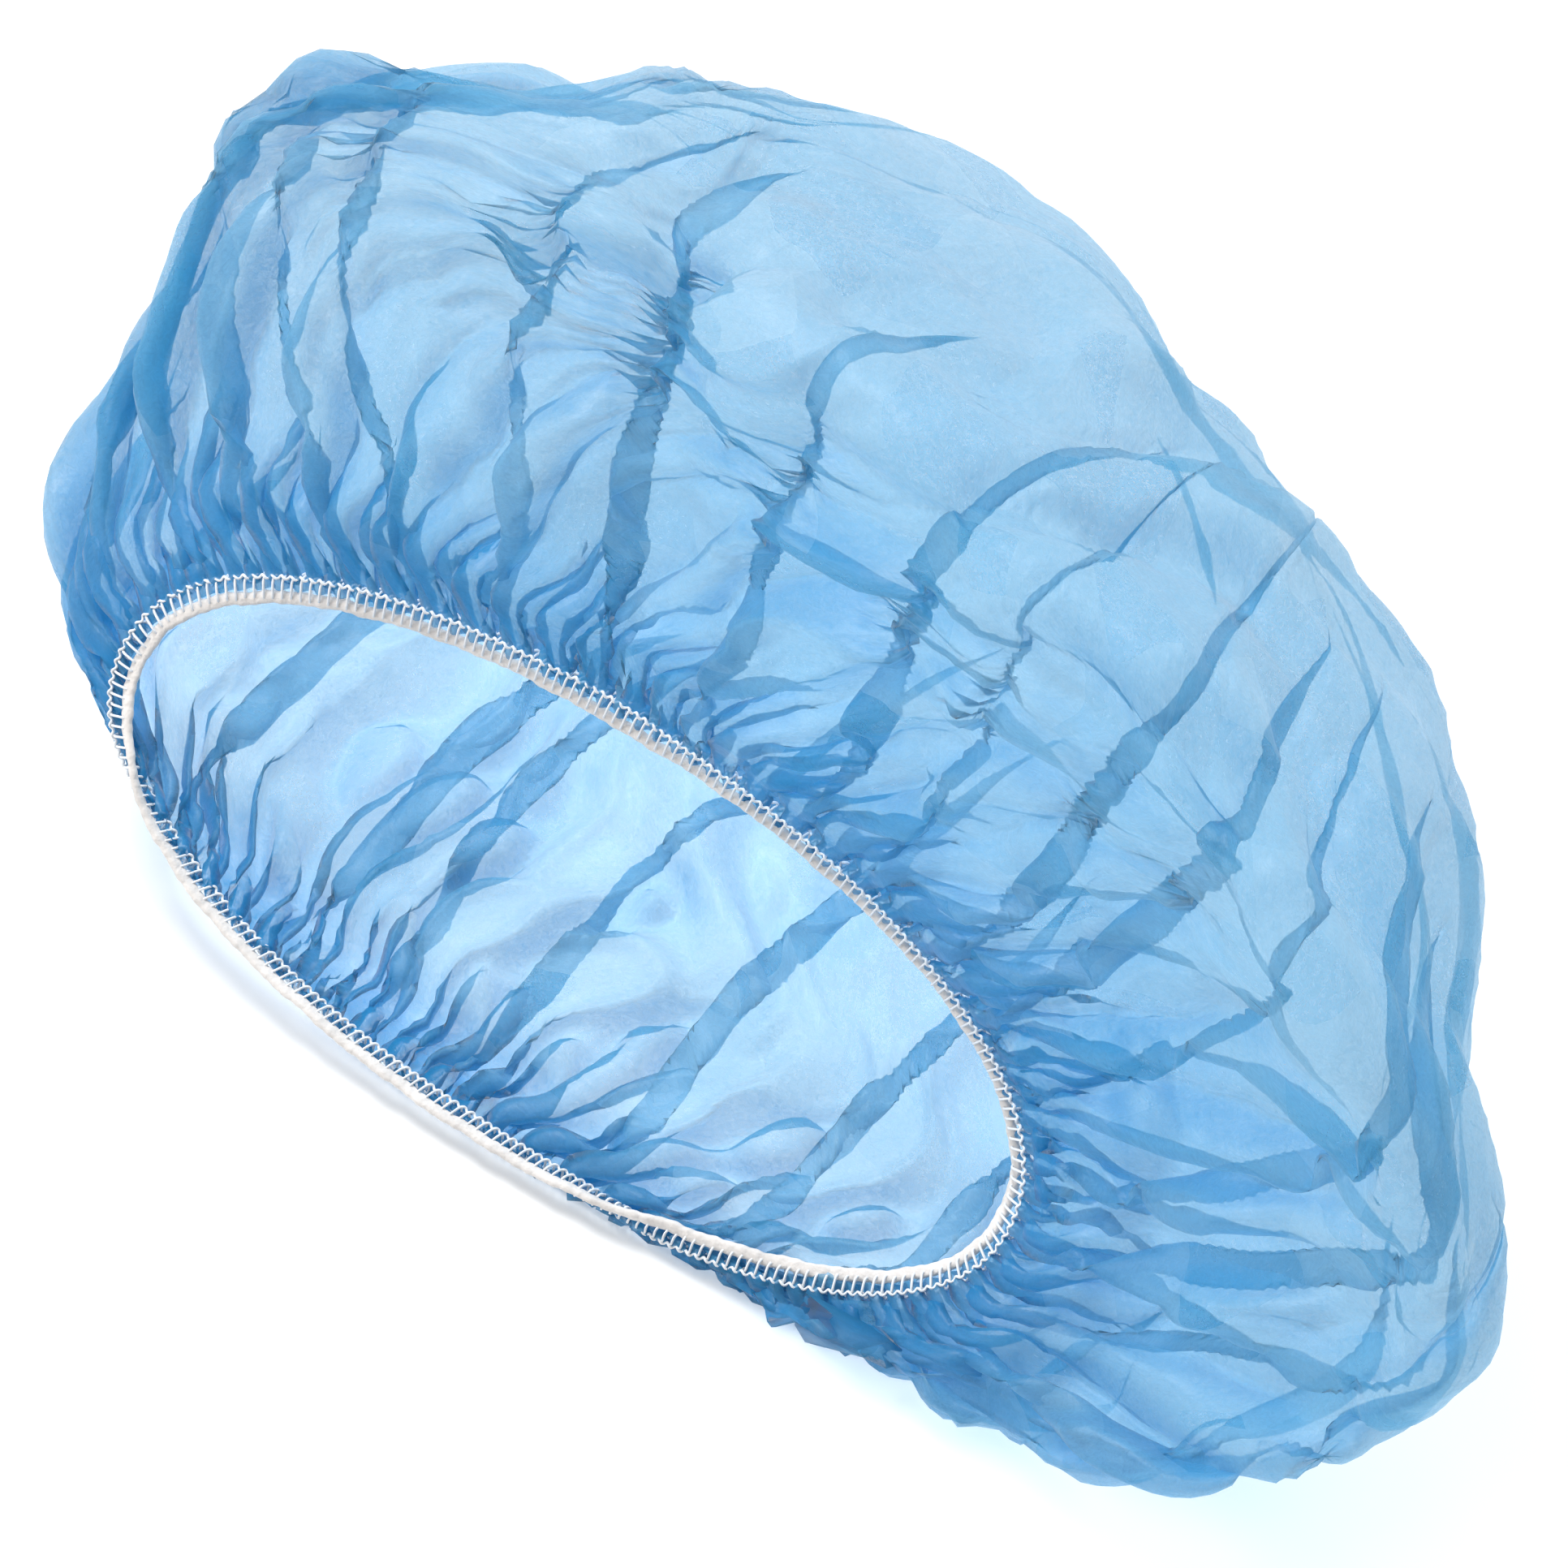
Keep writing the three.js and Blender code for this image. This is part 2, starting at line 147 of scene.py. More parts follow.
# Gathers between the hem and the pleats: how many around, the shares of the way from the hem over
# which the family comes in and fades out, how far it wanders, and its share of the surplus cloth
GATHER_FAMILIES = (
    (HEM_GATHERS, (-0.020, -0.010), (0.015, 0.075), 0.9, 1.0),
    (61, (0.010, 0.050), (0.070, 0.160), 1.5, 1.0),
    (33, (0.055, 0.130), LAST_FADE, 1.5, FOLD_SHARE),
)
GATHER_UNEVEN = 0.22  # spread of the gathers' heights
GATHER_LEAN = 0.055  # of a gather's breadth, by which it leans over
HEM_WAVE = 0.8  # mm, height of the waves that the hem itself keeps
FOLD_SEED = 11

# Crumpled facets: the spacing of their corners and the spread of the corners' heights, in mm
FACETS = ((30.0, 3.2), (15.0, 1.3))
FACET_SEED = 5

LATTICE = 120  # corners each way, more than the cloth needs

# Long soft creases across the facets: sets of them, their height and their spacings in mm
CREASE_SETS = 6
CREASE_HEIGHT = 1.1
CREASE_SPACINGS = (32.0, 75.0)

COLUMNS, ROWS = 960, 100  # of the cloth's grid
LAST_ROW = 0.985  # share of the way from the hem to the middle that the rows cover
ROW_CROWDING = 1.2  # above 1 the rows lie closer together at the hem
SUNK = 1.0  # mm, by which the folded cloth lies below the body
RISE_LIMITS = (-8.5, 2.8)  # mm, of the cloth off the body before it settles

# Settling: how many rounds; the shares of a length's error that straight and slanting threads and
# bending make up for; the nearest that bending lets threads two apart come, around and along; the
# shares of the last round's and of this round's movement; and the share by which a limit turns back
SETTLING = 7
STRAIGHT, SLANTING, BENDING = 0.90, 0.30, 0.22
LEAST_SPANS = (1.85, 1.9)
CARRIED, MOVED = 0.90, 0.30
TURNED_BACK = 0.6
INNER_LIMITS = (1.5, 6.0)  # mm below the body at the hem, and what is added away from it
OUTER_LIMITS = (0.9, 3.4)  # mm above the body, the same way
FLOOR_GAP = 0.12  # mm, between the floor and the cloth

# Elastic: points and sides, and waves as rows of count around, height and phase: its ribs as
# shares, its sway and its bow in mm
ELASTIC_POINTS, ELASTIC_SIDES = 1080, 16
RIBS = ((170, 1.0, 0.0), (111, 0.6, 1.0))
SWAY = ((37, 0.10, 0.0), (59, 0.08, 2.0))
BOW = ((23, 0.12, 2.0),)

# Overlock: points of a rung and of a chain loop, the thread's sides, the wander of the rungs' ends,
# and in mm the rungs' middle and half length and the chain's place, each with what it loses where
# the seam is narrowest, and the height of both
RUNG_POINTS, CHAIN_POINTS, THREAD_SIDES = 16, 8, 5
RUNG_WANDER = ((61, 0.12, 0.0), (97, 0.1, 1.0))
RUNG_MIDDLE, RUNG_HALF, RUNG_HEIGHT = (0.55, 0.3), (2.1, 1.0), 1.05
CHAIN_PLACE, CHAIN_HEIGHT = (2.65, 1.3), 0.85

# Cloth: size in mm of its fibres, creases, facets and the waves that bend the facets; how far
# the cover spreads; what the gathers (with painted shade on steep fold flanks) and facets add to
# it; the most that a facet pales, partly a random tone and partly a painted sheen highlight; and
# the share of the fibres' light that comes through them
FIBRE_SIZE, CREASE_SIZE, FACET_SIZE, BEND_SIZE = 1.2, 40.0, 21.0, 30.0
COVER_SPREAD, GATHER_AND_SHADE_COVER, FACET_COVER = 0.08, 0.32, 0.22
MOST_CRUSHED_SHEEN = 0.42
LIT_THROUGH = 0.45


def linear(text):
    """Linear colour of an sRGB hex value such as 8fc3e8."""
    part = np.array([int(text[i:i + 2], 16) for i in (0, 2, 4)]) / 255.0
    value = np.where(part <= 0.04045, part / 12.92, ((part + 0.055) / 1.055) ** 2.4)
    return tuple(float(v) for v in value)


def smooth(low, high, value):
    """Smooth step from 0 at low to 1 at high."""
    t = np.clip((value - low) / (high - low), 0.0, 1.0)
    return t * t * (3.0 - 2.0 * t)


def bell(value):
    """exp(-value^2)."""
    return np.exp(-value * value)


def unit(vectors):
    """Vectors of length 1 the same way."""
    return vectors / (np.linalg.norm(vectors, axis=-1, keepdims=True) + 1e-9)


def nearest_turn(difference):
    """Difference of two turns, taken the short way round."""
    return (difference + 0.5) % 1.0 - 0.5


def powered(value, power):
    """|value|^power with the value's own sign, which makes a circle's waves less round."""
    return np.sign(value) * np.abs(value) ** power


def waves(places, table):
    """Sum of height sin(count turns + phase) over the rows of a table."""
    return sum(height * np.sin(TURN * count * places + phase) for count, height, phase in table)


class CapShape:
    """The puffed body: every place on it is a function of a turn around the hem and a reach."""

    def __init__(self, sizes):
        self.length = sizes.body_length * MM
        self.depth = sizes.body_depth * MM
        self.height = sizes.body_height * MM
        self.hem_length = sizes.hem_length * MM
        self.hem_width = sizes.hem_width * MM
        self.flattening = sizes.flattening * MM
        self.shift = np.zeros(3)
        angles = np.linspace(0.0, TURN, 1441)
        hem = self.ring(angles, np.zeros_like(angles))
        steps = np.linalg.norm(np.diff(hem, axis=0), axis=1)
        walked = np.concatenate([[0.0], np.cumsum(steps)])
        self.perimeter = walked[-1]
        self.angle_table = angles
        self.turn_table = walked / walked[-1]
        low, high = (np.array(corner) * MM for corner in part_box("elastic_band"))
        seat = (low + high) / 2.0 - (hem[:-1].min(0) + hem[:-1].max(0)) / 2.0
        self.shift = np.array([seat[0], seat[1], 0.0])

    def angle(self, turn):
        """Ring angle at a turn, so that equal turns are equal lengths of hem."""
        return np.interp(turn % 1.0, self.turn_table, self.angle_table)

    def turn(self, degrees):
        """Turn at a ring angle in degrees."""
        return np.interp(np.radians(degrees) % TURN, self.angle_table, self.turn_table)

    def ring(self, angle, reach):
        """Point of the ring at a reach: middle + a |cos|^r along + b |sin|^r across, where every
        measure of the ring is a smooth cubic curve through its column of SECTIONS."""
        at = SECTIONS[:, 0]
        rows = SECTIONS[:, 1:]
        slopes = np.gradient(rows, at, axis=0)
        slopes[1:-1] = (rows[2:] - rows[:-2]) / (at[2:] - at[:-2])[:, None]
        i = np.clip(np.searchsorted(at, reach, side="right") - 1, 0, len(at) - 2)
        span = (at[i + 1] - at[i])[..., None]
        t = (reach - at[i])[..., None] / span
        start = rows[i] * (1 + 2 * t) * (1 - t) ** 2 + span * slopes[i] * t * (1 - t) ** 2
        end = rows[i + 1] * t * t * (3 - 2 * t) + span * slopes[i + 1] * t * t * (t - 1)
        x, y, lift, hem, long, high, yaw, tilt, roll, rounded = np.moveaxis(start + end, -1, 0)
        half_length = (hem * self.hem_length + long * self.length) / 2.0
        half_width = (hem * self.hem_width + high * self.height) / 2.0
        yaw, tilt, roll = np.radians(yaw), np.radians(tilt), np.radians(roll)
        rise = half_width * np.sin(tilt) + lift * self.height
        middle = np.stack([x * self.length, y * self.depth, rise], -1)
        ahead = np.stack([np.cos(yaw), np.sin(yaw), np.zeros_like(yaw)], -1)
        aside = np.stack([-np.sin(yaw), np.cos(yaw), np.zeros_like(yaw)], -1)
        up = np.array([0.0, 0.0, 1.0])
        along = ahead * np.cos(roll)[..., None] + up * np.sin(roll)[..., None]
        across = aside * np.cos(tilt)[..., None] + up * np.sin(tilt)[..., None]
        cos, sin = powered(np.cos(angle), rounded), powered(np.sin(angle), rounded)
        point = middle + (half_length * cos)[..., None] * along
        return point + (half_width * sin)[..., None] * across + self.shift

    def point(self, turn, reach):
        """The ring's point with the lobes pushed out: a sum of two-way bells."""
        turn, reach = np.broadcast_arrays(turn, reach)
        angle = self.angle(turn)
        points = self.ring(angle, reach)
        held = np.clip(reach / 0.06, 0, 1) * np.clip((1 - reach) / 0.08, 0, 1)
        for at, middle, spread, span, x, y, z in LOBES:
            around = nearest_turn(angle / TURN - at / 360.0) * 360.0 / spread
            weight = held * bell(around) * bell((reach - middle) / span)
            push = np.array([x * self.length, y * self.depth, z * self.height])
            points = points + weight[..., None] * push
        return points

    def laid(self, points):
        """Heights below the floor are brought up to it, with an eased edge."""
        z = points[..., 2]
        soft = self.flattening
        eased = np.where(z > soft, z, (np.maximum(z, -soft) + soft) ** 2 / (4.0 * soft))
        return np.concatenate([points[..., :2], eased[..., None]], -1)


def grid_normals(points):
    """Outward unit normals of a grid of rows that close on themselves."""
    around = np.roll(points, -1, axis=1) - np.roll(points, 1, axis=1)
    along = np.gradient(points, axis=0)
    return unit(np.cross(along, around))


def place_along(shape, angles, reaches, reach):
    """Turn of a fold's middle at a reach, and how far the fold is open there."""
    turns = np.unwrap(np.array([float(shape.turn(a)) for a in angles]), period=1.0)
    order = np.argsort(reaches)
    near = np.linspace(-0.09, 0.09, 9)
    ways = [np.interp(reach + d, np.array(reaches)[order], turns[order]) for d in near]
    middle = np.mean(ways, axis=0)
    first, last = min(reaches), max(reaches)
    opened = smooth(first - 0.02, first + 0.04, reach) if first > 0.01 else 1.0
    return middle, opened * (1.0 - smooth(last - 0.10, last + 0.04, reach))


def even_rows(shape, columns, rows):
    """Turns and reaches of a grid whose rows lie at equal shares of the way from the hem to the
    last row: the way is measured on the body and turned round by a piecewise straight table."""
    turn = np.arange(columns) / columns
    fine = np.linspace(0.0, 1.0, 241)
    points = shape.laid(shape.point(turn[None, :], fine[:, None]))
    steps = np.linalg.norm(np.diff(points, axis=0), axis=-1)
    walked = np.concatenate([np.zeros((1, columns)), np.cumsum(steps, axis=0)])
    share = walked / walked[-1]
    wanted = LAST_ROW * np.linspace(0.0, 1.0, rows + 1) ** ROW_CROWDING
    found = (share[:, None, :] < wanted[None, :, None]).sum(0).clip(1, len(fine) - 1)
    below = np.take_along_axis(share, found - 1, axis=0)
    above = np.take_along_axis(share, found, axis=0)
    part = (wanted[:, None] - below) / (above - below)
    return turn, fine[found - 1] + part * (fine[1] - fine[0]), wanted


def seeded_drift(turn, random, strength):
    """Slow wander around the cap: a sum of five waves with seeded phases."""
    phases = random.uniform(0.0, TURN, 5)
    counts = (2, 3, 5, 8, 13)
    waves = [np.sin(TURN * n * turn + p) / n ** 0.6 for n, p in zip(counts, phases)]
    return strength * np.sum(waves, axis=0)


def flat_place(turn, share, radius):
    """Place on the cloth as it was cut, a disc: x and y in mm from its middle."""
    way = radius * (1.0 - share)[:, None]
    return way * np.cos(TURN * turn)[None, :], way * np.sin(TURN * turn)[None, :]


def faceted(flat_x, flat_y, spacing, height, random):
    """Height of cloth crumpled to flat facets: random heights at the corners of a lattice of
    triangles, straight between them, on a plane that is itself bent by two slow waves."""
    x = flat_x + 0.35 * spacing * np.sin(flat_y / (0.9 * spacing) + 1.0)
    y = flat_y + 0.35 * spacing * np.sin(flat_x / (1.1 * spacing))
    u = x / spacing + 0.5 * y / spacing + LATTICE / 2.0
    v = y * (math.sqrt(0.75) / spacing) + LATTICE / 2.0
    corner = random.normal(0.0, height, (LATTICE, LATTICE)).clip(-1.8 * height, 1.8 * height)
    i, j = np.floor(u).astype(int), np.floor(v).astype(int)
    u, v = u - i, v - j
    first, last = corner[i, j], corner[i + 1, j + 1]
    beside, above = corner[i + 1, j], corner[i, j + 1]
    lower = first + u * (beside - first) + v * (above - first)
    upper = last + (1.0 - u) * (above - last) + (1.0 - v) * (beside - last)
    return np.where(u + v < 1.0, lower, upper)


def settle(points, body, normals, lengths, limits):
    """Let the gathered cloth find its folds. Each thread length between neighbours pulls or pushes
    its two ends half way to that length, bending only pushes apart, each round carries most of the
    last one's movement on, and the cloth stays between an inner and an outer limit over the body
    and above the floor."""
    around, along = lengths
    slant = np.sqrt(around[:-1] ** 2 + along ** 2)
    threads = (
        (0, 1, around, STRAIGHT, False),
        (1, 0, along, STRAIGHT, False),
        (1, 1, slant, SLANTING, False),
        (1, -1, slant, SLANTING, False),
        (0, 2, LEAST_SPANS[0] * around, BENDING, True),
        (2, 0, LEAST_SPANS[1] * along[:-1], BENDING, True),
    )
    inner, outer = limits
    held = points[:2].copy()
    last = points[-1].copy()
    before = points.copy()
    for _ in range(SETTLING):
        moved = np.zeros_like(points)
        for rows, columns, length, stiffness, bending in threads:
            here = points[:len(points) - rows]
            gap = np.roll(points[rows:], -columns, axis=1) - here
            distance = np.sqrt(np.einsum("ijk,ijk->ij", gap, gap)) + 1e-6
            pull = 0.5 * stiffness * (1.0 - length / distance)
            if bending:
                pull = np.minimum(pull, 0.0)
            push = gap * np.maximum(pull, -1.5)[..., None]
            moved[:len(points) - rows] += push
            moved[rows:] -= np.roll(push, columns, axis=1)
        carried = CARRIED * (points - before)
        before = points
        points = points + carried + MOVED * moved
        height = np.einsum("ijk,ijk->ij", points - body, normals)
        beyond = np.maximum(height - outer, 0.0) + np.minimum(height + inner, 0.0)
        points -= (TURNED_BACK * beyond)[..., None] * normals
        points[..., 2] = np.maximum(points[..., 2], FLOOR_GAP)
        points[:2] = held
        points[-1] = last
    return points


def gathered_turns(shape, turn, reach, share, radius, body):
    """Where each thread line of the cut disc lies around the body, and what the pleats do to it.
    Around every row the cloth's length s grows with the body's length x as
    s = x + sum of 2 lap (1 + tanh((x - pleat) / (breadth lap))) / 2, stretched to the whole cloth,
    so the threads crowd at the pleats, where they are then slid back by slide lap t
    exp(-(t / reach)^2) and lifted by the same curve, with t the cloth's length from the pleat in
    laps: an S of three layers."""
    rows, columns = reach.shape
    steps = np.linalg.norm(np.roll(body, -1, axis=1) - body, axis=-1)
    ring_length = steps.sum(1)
    true_length = TURN * radius * (1.0 - share)
    ratio = np.clip(true_length / ring_length, LEAST_GATHERED, MOST_GATHERED)
    weights = np.array([pleat[2] for pleat in PLEATS])
    sides = np.array([pleat[3] for pleat in PLEATS], dtype=float)
    places = []
    for angles, reaches, _, _ in PLEATS:
        column = int(float(shape.turn(np.mean(angles))) * columns) % columns
        places.append(place_along(shape, angles, reaches, reach[:, column]))
    middles = np.stack([place[0] for place in places], 1) % 1.0
    opened = np.stack([place[1] * np.ones(rows) for place in places], 1)
    table = np.concatenate([turn, [1.0]])
    found, slide, rise = (np.zeros_like(reach) for _ in range(3))
    copies = np.array([-1.0, 0.0, 1.0])
    kept = FOLD_SHARE * (1.0 - smooth(*LAST_FADE, share))
    for row in range(rows):
        length = ring_length[row]
        way = np.concatenate([[0.0], np.cumsum(steps[row])])
        pleat_way = np.interp(middles[row], table, way)
        surplus = max(ratio[row] - 1.0 - PANEL_EASE, 0.0) * length
        into_pleats = surplus * smooth(*LAP_START, share[row]) * (1.0 - kept[row])
        laps = np.minimum(0.5 * into_pleats * weights / weights.sum(), MOST_LAP) * opened[row]
        laps = laps + 1e-3
        near = way[:, None, None] - pleat_way[None, :, None] - length * copies[None, None, :]
        stepped = 0.5 * (1.0 + np.tanh(near / (LAP_BREADTH * laps + 0.4)[None, :, None]))
        taken = (2.0 * laps[None, :, None] * stepped).sum((1, 2))
        cloth = way + taken - taken[0]
        cloth = cloth / cloth[-1] * ratio[row] * length
        thread = turn * cloth[-1]
        body_way = np.interp(thread, cloth, way)
        found[row] = np.interp(body_way, way, table)
        pleat_cloth = np.interp(pleat_way, way, cloth)
        off = nearest_turn((thread[:, None] - pleat_cloth[None, :]) / cloth[-1]) * cloth[-1]
        t = off / laps[None, :]
        turned = t * bell(t / LAP_REACH)
        slide[row] = -(LAP_SLIDE * laps * turned).sum(1)
        rise[row] = -(2.0 * sides * LAP_LIFT * laps * turned).sum(1)
        rise[row] -= (LAP_DENT * laps * bell(t / DENT_REACH)).sum(1)
    return found, slide, rise, ratio, ring_length


def row_values(turn, values, wanted):
    """Values of a closed grid at other turns, row by row."""
    table = np.concatenate([turn, [1.0]])
    closed = np.concatenate([values, values[:, :1]], axis=1)
    return np.stack([np.interp(w, table, v) for w, v in zip(wanted % 1.0, closed)])


def main_relief(shape, turn, reach, ring_length):
    """Dents of the main folds: minus a sum of bells across each fold's line."""
    relief = np.zeros_like(reach)
    for angles, reaches, breadth, depth in MAIN_FOLDS:
        middle, opened = place_along(shape, angles, reaches, reach)
        across = nearest_turn(turn - middle) * ring_length[:, None]
        relief -= depth * opened * bell(across / breadth)
    return relief


def add_gathers(rise, slide, turn, share, ratio, ring_length, random):
    """Adds the gathers: waves whose swing is that of a cosine as long as the cloth, and which lean
    over a little."""
    folds = np.zeros_like(rise)
    for count, coming, fading, wander, portion in GATHER_FAMILIES:
        taken = portion * smooth(*coming, share) * (1.0 - smooth(*fading, share))
        full = 1.0 + (ratio - 1.0) * taken
        phase = TURN * count * turn + seeded_drift(turn, random, wander)
        uneven = 1.0 + seeded_drift(turn, random, GATHER_UNEVEN)
        wave = ring_length / count
        swing = (0.25 * wave * np.sqrt(full ** 2 - 1.0))[:, None] * uneven
        folds += swing * (np.cos(phase) - 0.5)
        slide += (GATHER_LEAN * wave * taken)[:, None] * np.sin(2.0 * phase)
    rise += folds


def add_crumples(rise, turn, share, radius, random):
    """Adds the crumples of a cap that was packed flat: facets, then sets of long creases that are
    ridges of a saw-tooth bent by a sine."""
    flat_x, flat_y = flat_place(turn, share, radius)
    chance = np.random.default_rng(FACET_SEED)
    for spacing, height in FACETS:
        facets = faceted(flat_x, flat_y, spacing, height, chance)
        rise += facets * smooth(0.04, 0.20, share)[:, None]
    for index in range(CREASE_SETS):
        heading = random.uniform(0.0, math.pi)
        spacing = random.uniform(*CREASE_SPACINGS)
        ahead, aside = math.cos(heading), math.sin(heading)
        bend = 7.0 * np.sin((flat_y * ahead - flat_x * aside) / random.uniform(12.0, 26.0))
        way = (flat_x * ahead + flat_y * aside + bend) * math.pi / spacing
        ridge = 1.0 - 1.5 * np.abs(np.sin(way + random.uniform(0.0, TURN)))
        side = 1.0 if index % 2 else -1.0
        rise += side * CREASE_HEIGHT * ridge * smooth(0.03, 0.2, share)[:, None]


def crown_grid(shape, sizes, columns, rows):
    """The cloth: the body's surface with its main folds, then the pleats and the families of
    gathering waves laid on it, then settled to the lengths that a flat disc gathered to this body
    has. Returns points, shares of the way, turns, and how dense the cloth is made there, a mask for
    the deep colour: the bunching at the hem, partly denser cloth and partly painted shade in
    streaks between the gathers, and painted shade where the cloth stands steeply on the body."""
    radius = sizes.flat_diameter * MM / 2.0
    turn, reach, share = even_rows(shape, columns, rows)
    smooth_body = shape.laid(shape.point(turn[None, :], reach))
    found, slide, rise, ratio, ring_length = gathered_turns(
        shape, turn, reach, share, radius, smooth_body)
    reach = row_values(turn, reach, found)
    smooth_body = shape.laid(shape.point(found, reach))
    normals = grid_normals(smooth_body)
    relief = main_relief(shape, found, reach, ring_length) * smooth(0.0, 0.10, share)[:, None]
    body = shape.laid(smooth_body + relief[..., None] * normals)
    normals = grid_normals(body)
    tangents = unit(np.roll(body, -1, axis=1) - np.roll(body, 1, axis=1))

    random = np.random.default_rng(FOLD_SEED)
    add_gathers(rise, slide, turn, share, ratio, ring_length, random)
    add_crumples(rise, turn, share, radius, random)
    eased = smooth(0.0, 0.03, share)[:, None]
    hem_phase = TURN * HEM_GATHERS * turn + seeded_drift(turn, random, 0.9)
    hem_wave = HEM_WAVE * np.cos(hem_phase)[None, :]
    rise = np.clip(rise - SUNK * smooth(0.1, 0.3, share)[:, None], *RISE_LIMITS)
    rise = rise * eased + hem_wave * (1.0 - eased)
    start = body + rise[..., None] * normals + (slide * eased)[..., None] * tangents

    around = np.repeat((ratio * ring_length / columns)[:, None], columns, axis=1)
    along = np.linalg.norm(np.diff(start, axis=0), axis=-1) * sizes.slack
    inner = INNER_LIMITS[0] + INNER_LIMITS[1] * smooth(0.0, 0.12, share)[:, None]
    outer = OUTER_LIMITS[0] + OUTER_LIMITS[1] * smooth(0.02, 0.2, share)[:, None]
    settled = settle(start, body, normals, (around, along), (inner, outer))
    settled[..., 2] = np.maximum(settled[..., 2], FLOOR_GAP)
    beside = np.roll(settled, 1, axis=1) + np.roll(settled, -1, axis=1)
    settled[1:-1] = 0.6 * settled[1:-1] + 0.1 * (beside[1:-1] + settled[2:] + settled[:-2])

    # Hem bunching, partly denser cloth, with painted shade in streaks between the gathers
    streaks = 0.5 - 0.5 * np.cos(TURN * HEM_GATHERS * turn + seeded_drift(turn, random, 0.9))
    bunched_and_shaded = (0.35 + 0.65 * streaks)[None, :] * (1.0 - smooth(0.008, 0.12, share))[:, None]
    # Painted shade on fold flanks that stand steeply on the body
    leaning = 1.0 - np.abs(np.einsum("ijk,ijk->ij", grid_normals(settled), normals))
    steep_shade = smooth(0.10, 0.75, leaning)
    for _ in range(2):
        steep_shade = 0.5 * steep_shade + 0.25 * (np.roll(steep_shade, 1, axis=1) + np.roll(steep_shade, -1, axis=1))
    return settled, share, turn, np.clip(bunched_and_shaded + 0.55 * steep_shade, 0.0, 1.0)


def mesh_object(name, points, faces, material):
    """A mesh object at the origin from points in mm and equal-sided faces."""
    mesh = bpy.data.meshes.new(name)
    sides = faces.shape[1]
    mesh.vertices.add(len(points))
    mesh.vertices.foreach_set("co", (points / MM).astype(np.float32).ravel())
    mesh.loops.add(faces.size)
    mesh.loops.foreach_set("vertex_index", faces.astype(np.int32).ravel())
    mesh.polygons.add(len(faces))
    mesh.polygons.foreach_set("loop_start", np.arange(0, faces.size, sides, dtype=np.int32))
    mesh.polygons.foreach_set("use_smooth", np.full(len(faces), True))
    mesh.update(calc_edges=True)
    mesh.validate()
    mesh.materials.append(material)
    thing = bpy.data.objects.new(name, mesh)
    bpy.context.scene.collection.objects.link(thing)
    return thing


def ring_faces(rows, columns, closed_rows=False):
    """Quads of a grid whose columns close on themselves, and its rows too where asked."""
    row = np.arange(rows if closed_rows else rows - 1)[:, None]
    column = np.arange(columns)[None, :]
    after = (column + 1) % columns
    below = (row + 1) % rows
    corners = (row * columns + column, below * columns + column,
               below * columns + after, row * columns + after)
    return np.stack(np.broadcast_arrays(*corners), -1).reshape(-1, 4)


def carried_tube(path, sideways, half_width, half_height, sides):
    """A rounded section carried along a closed path: path + w |cos|^r s + h |sin|^r n."""
    ahead = unit(np.roll(path, -1, axis=0) - np.roll(path, 1, axis=0))
    side = unit(sideways - np.einsum("ij,ij->i", sideways, ahead)[:, None] * ahead)
    raised = np.cross(ahead, side)
    angle = TURN * (np.arange(sides) + 0.5) / sides
    cos, sin = powered(np.cos(angle), 0.8), powered(np.sin(angle), 0.8)
    wide = np.broadcast_to(half_width, len(path))[:, None, None]
    tall = np.broadcast_to(half_height, len(path))[:, None, None]
    points = path[:, None] + wide * cos[None, :, None] * side[:, None]
    return points + tall * sin[None, :, None] * raised[:, None]


class NodeTree:
    """A material's nodes, with one small function that adds a node."""

    def __init__(self, name):
        self.material = bpy.data.materials.new(name)
        self.material.use_nodes = True
        self.tree = self.material.node_tree
        self.tree.nodes.clear()

    def add(self, kind, inputs=None, **settings):
        """Adds a node, sets its settings, and sets or links its inputs."""
        node = self.tree.nodes.new(kind)
        for key, value in settings.items():
            setattr(node, key, value)
        for key, value in (inputs or {}).items():
            if isinstance(value, bpy.types.NodeSocket):
                self.tree.links.new(value, node.inputs[key])
            else:
                node.inputs[key].default_value = value
        return node


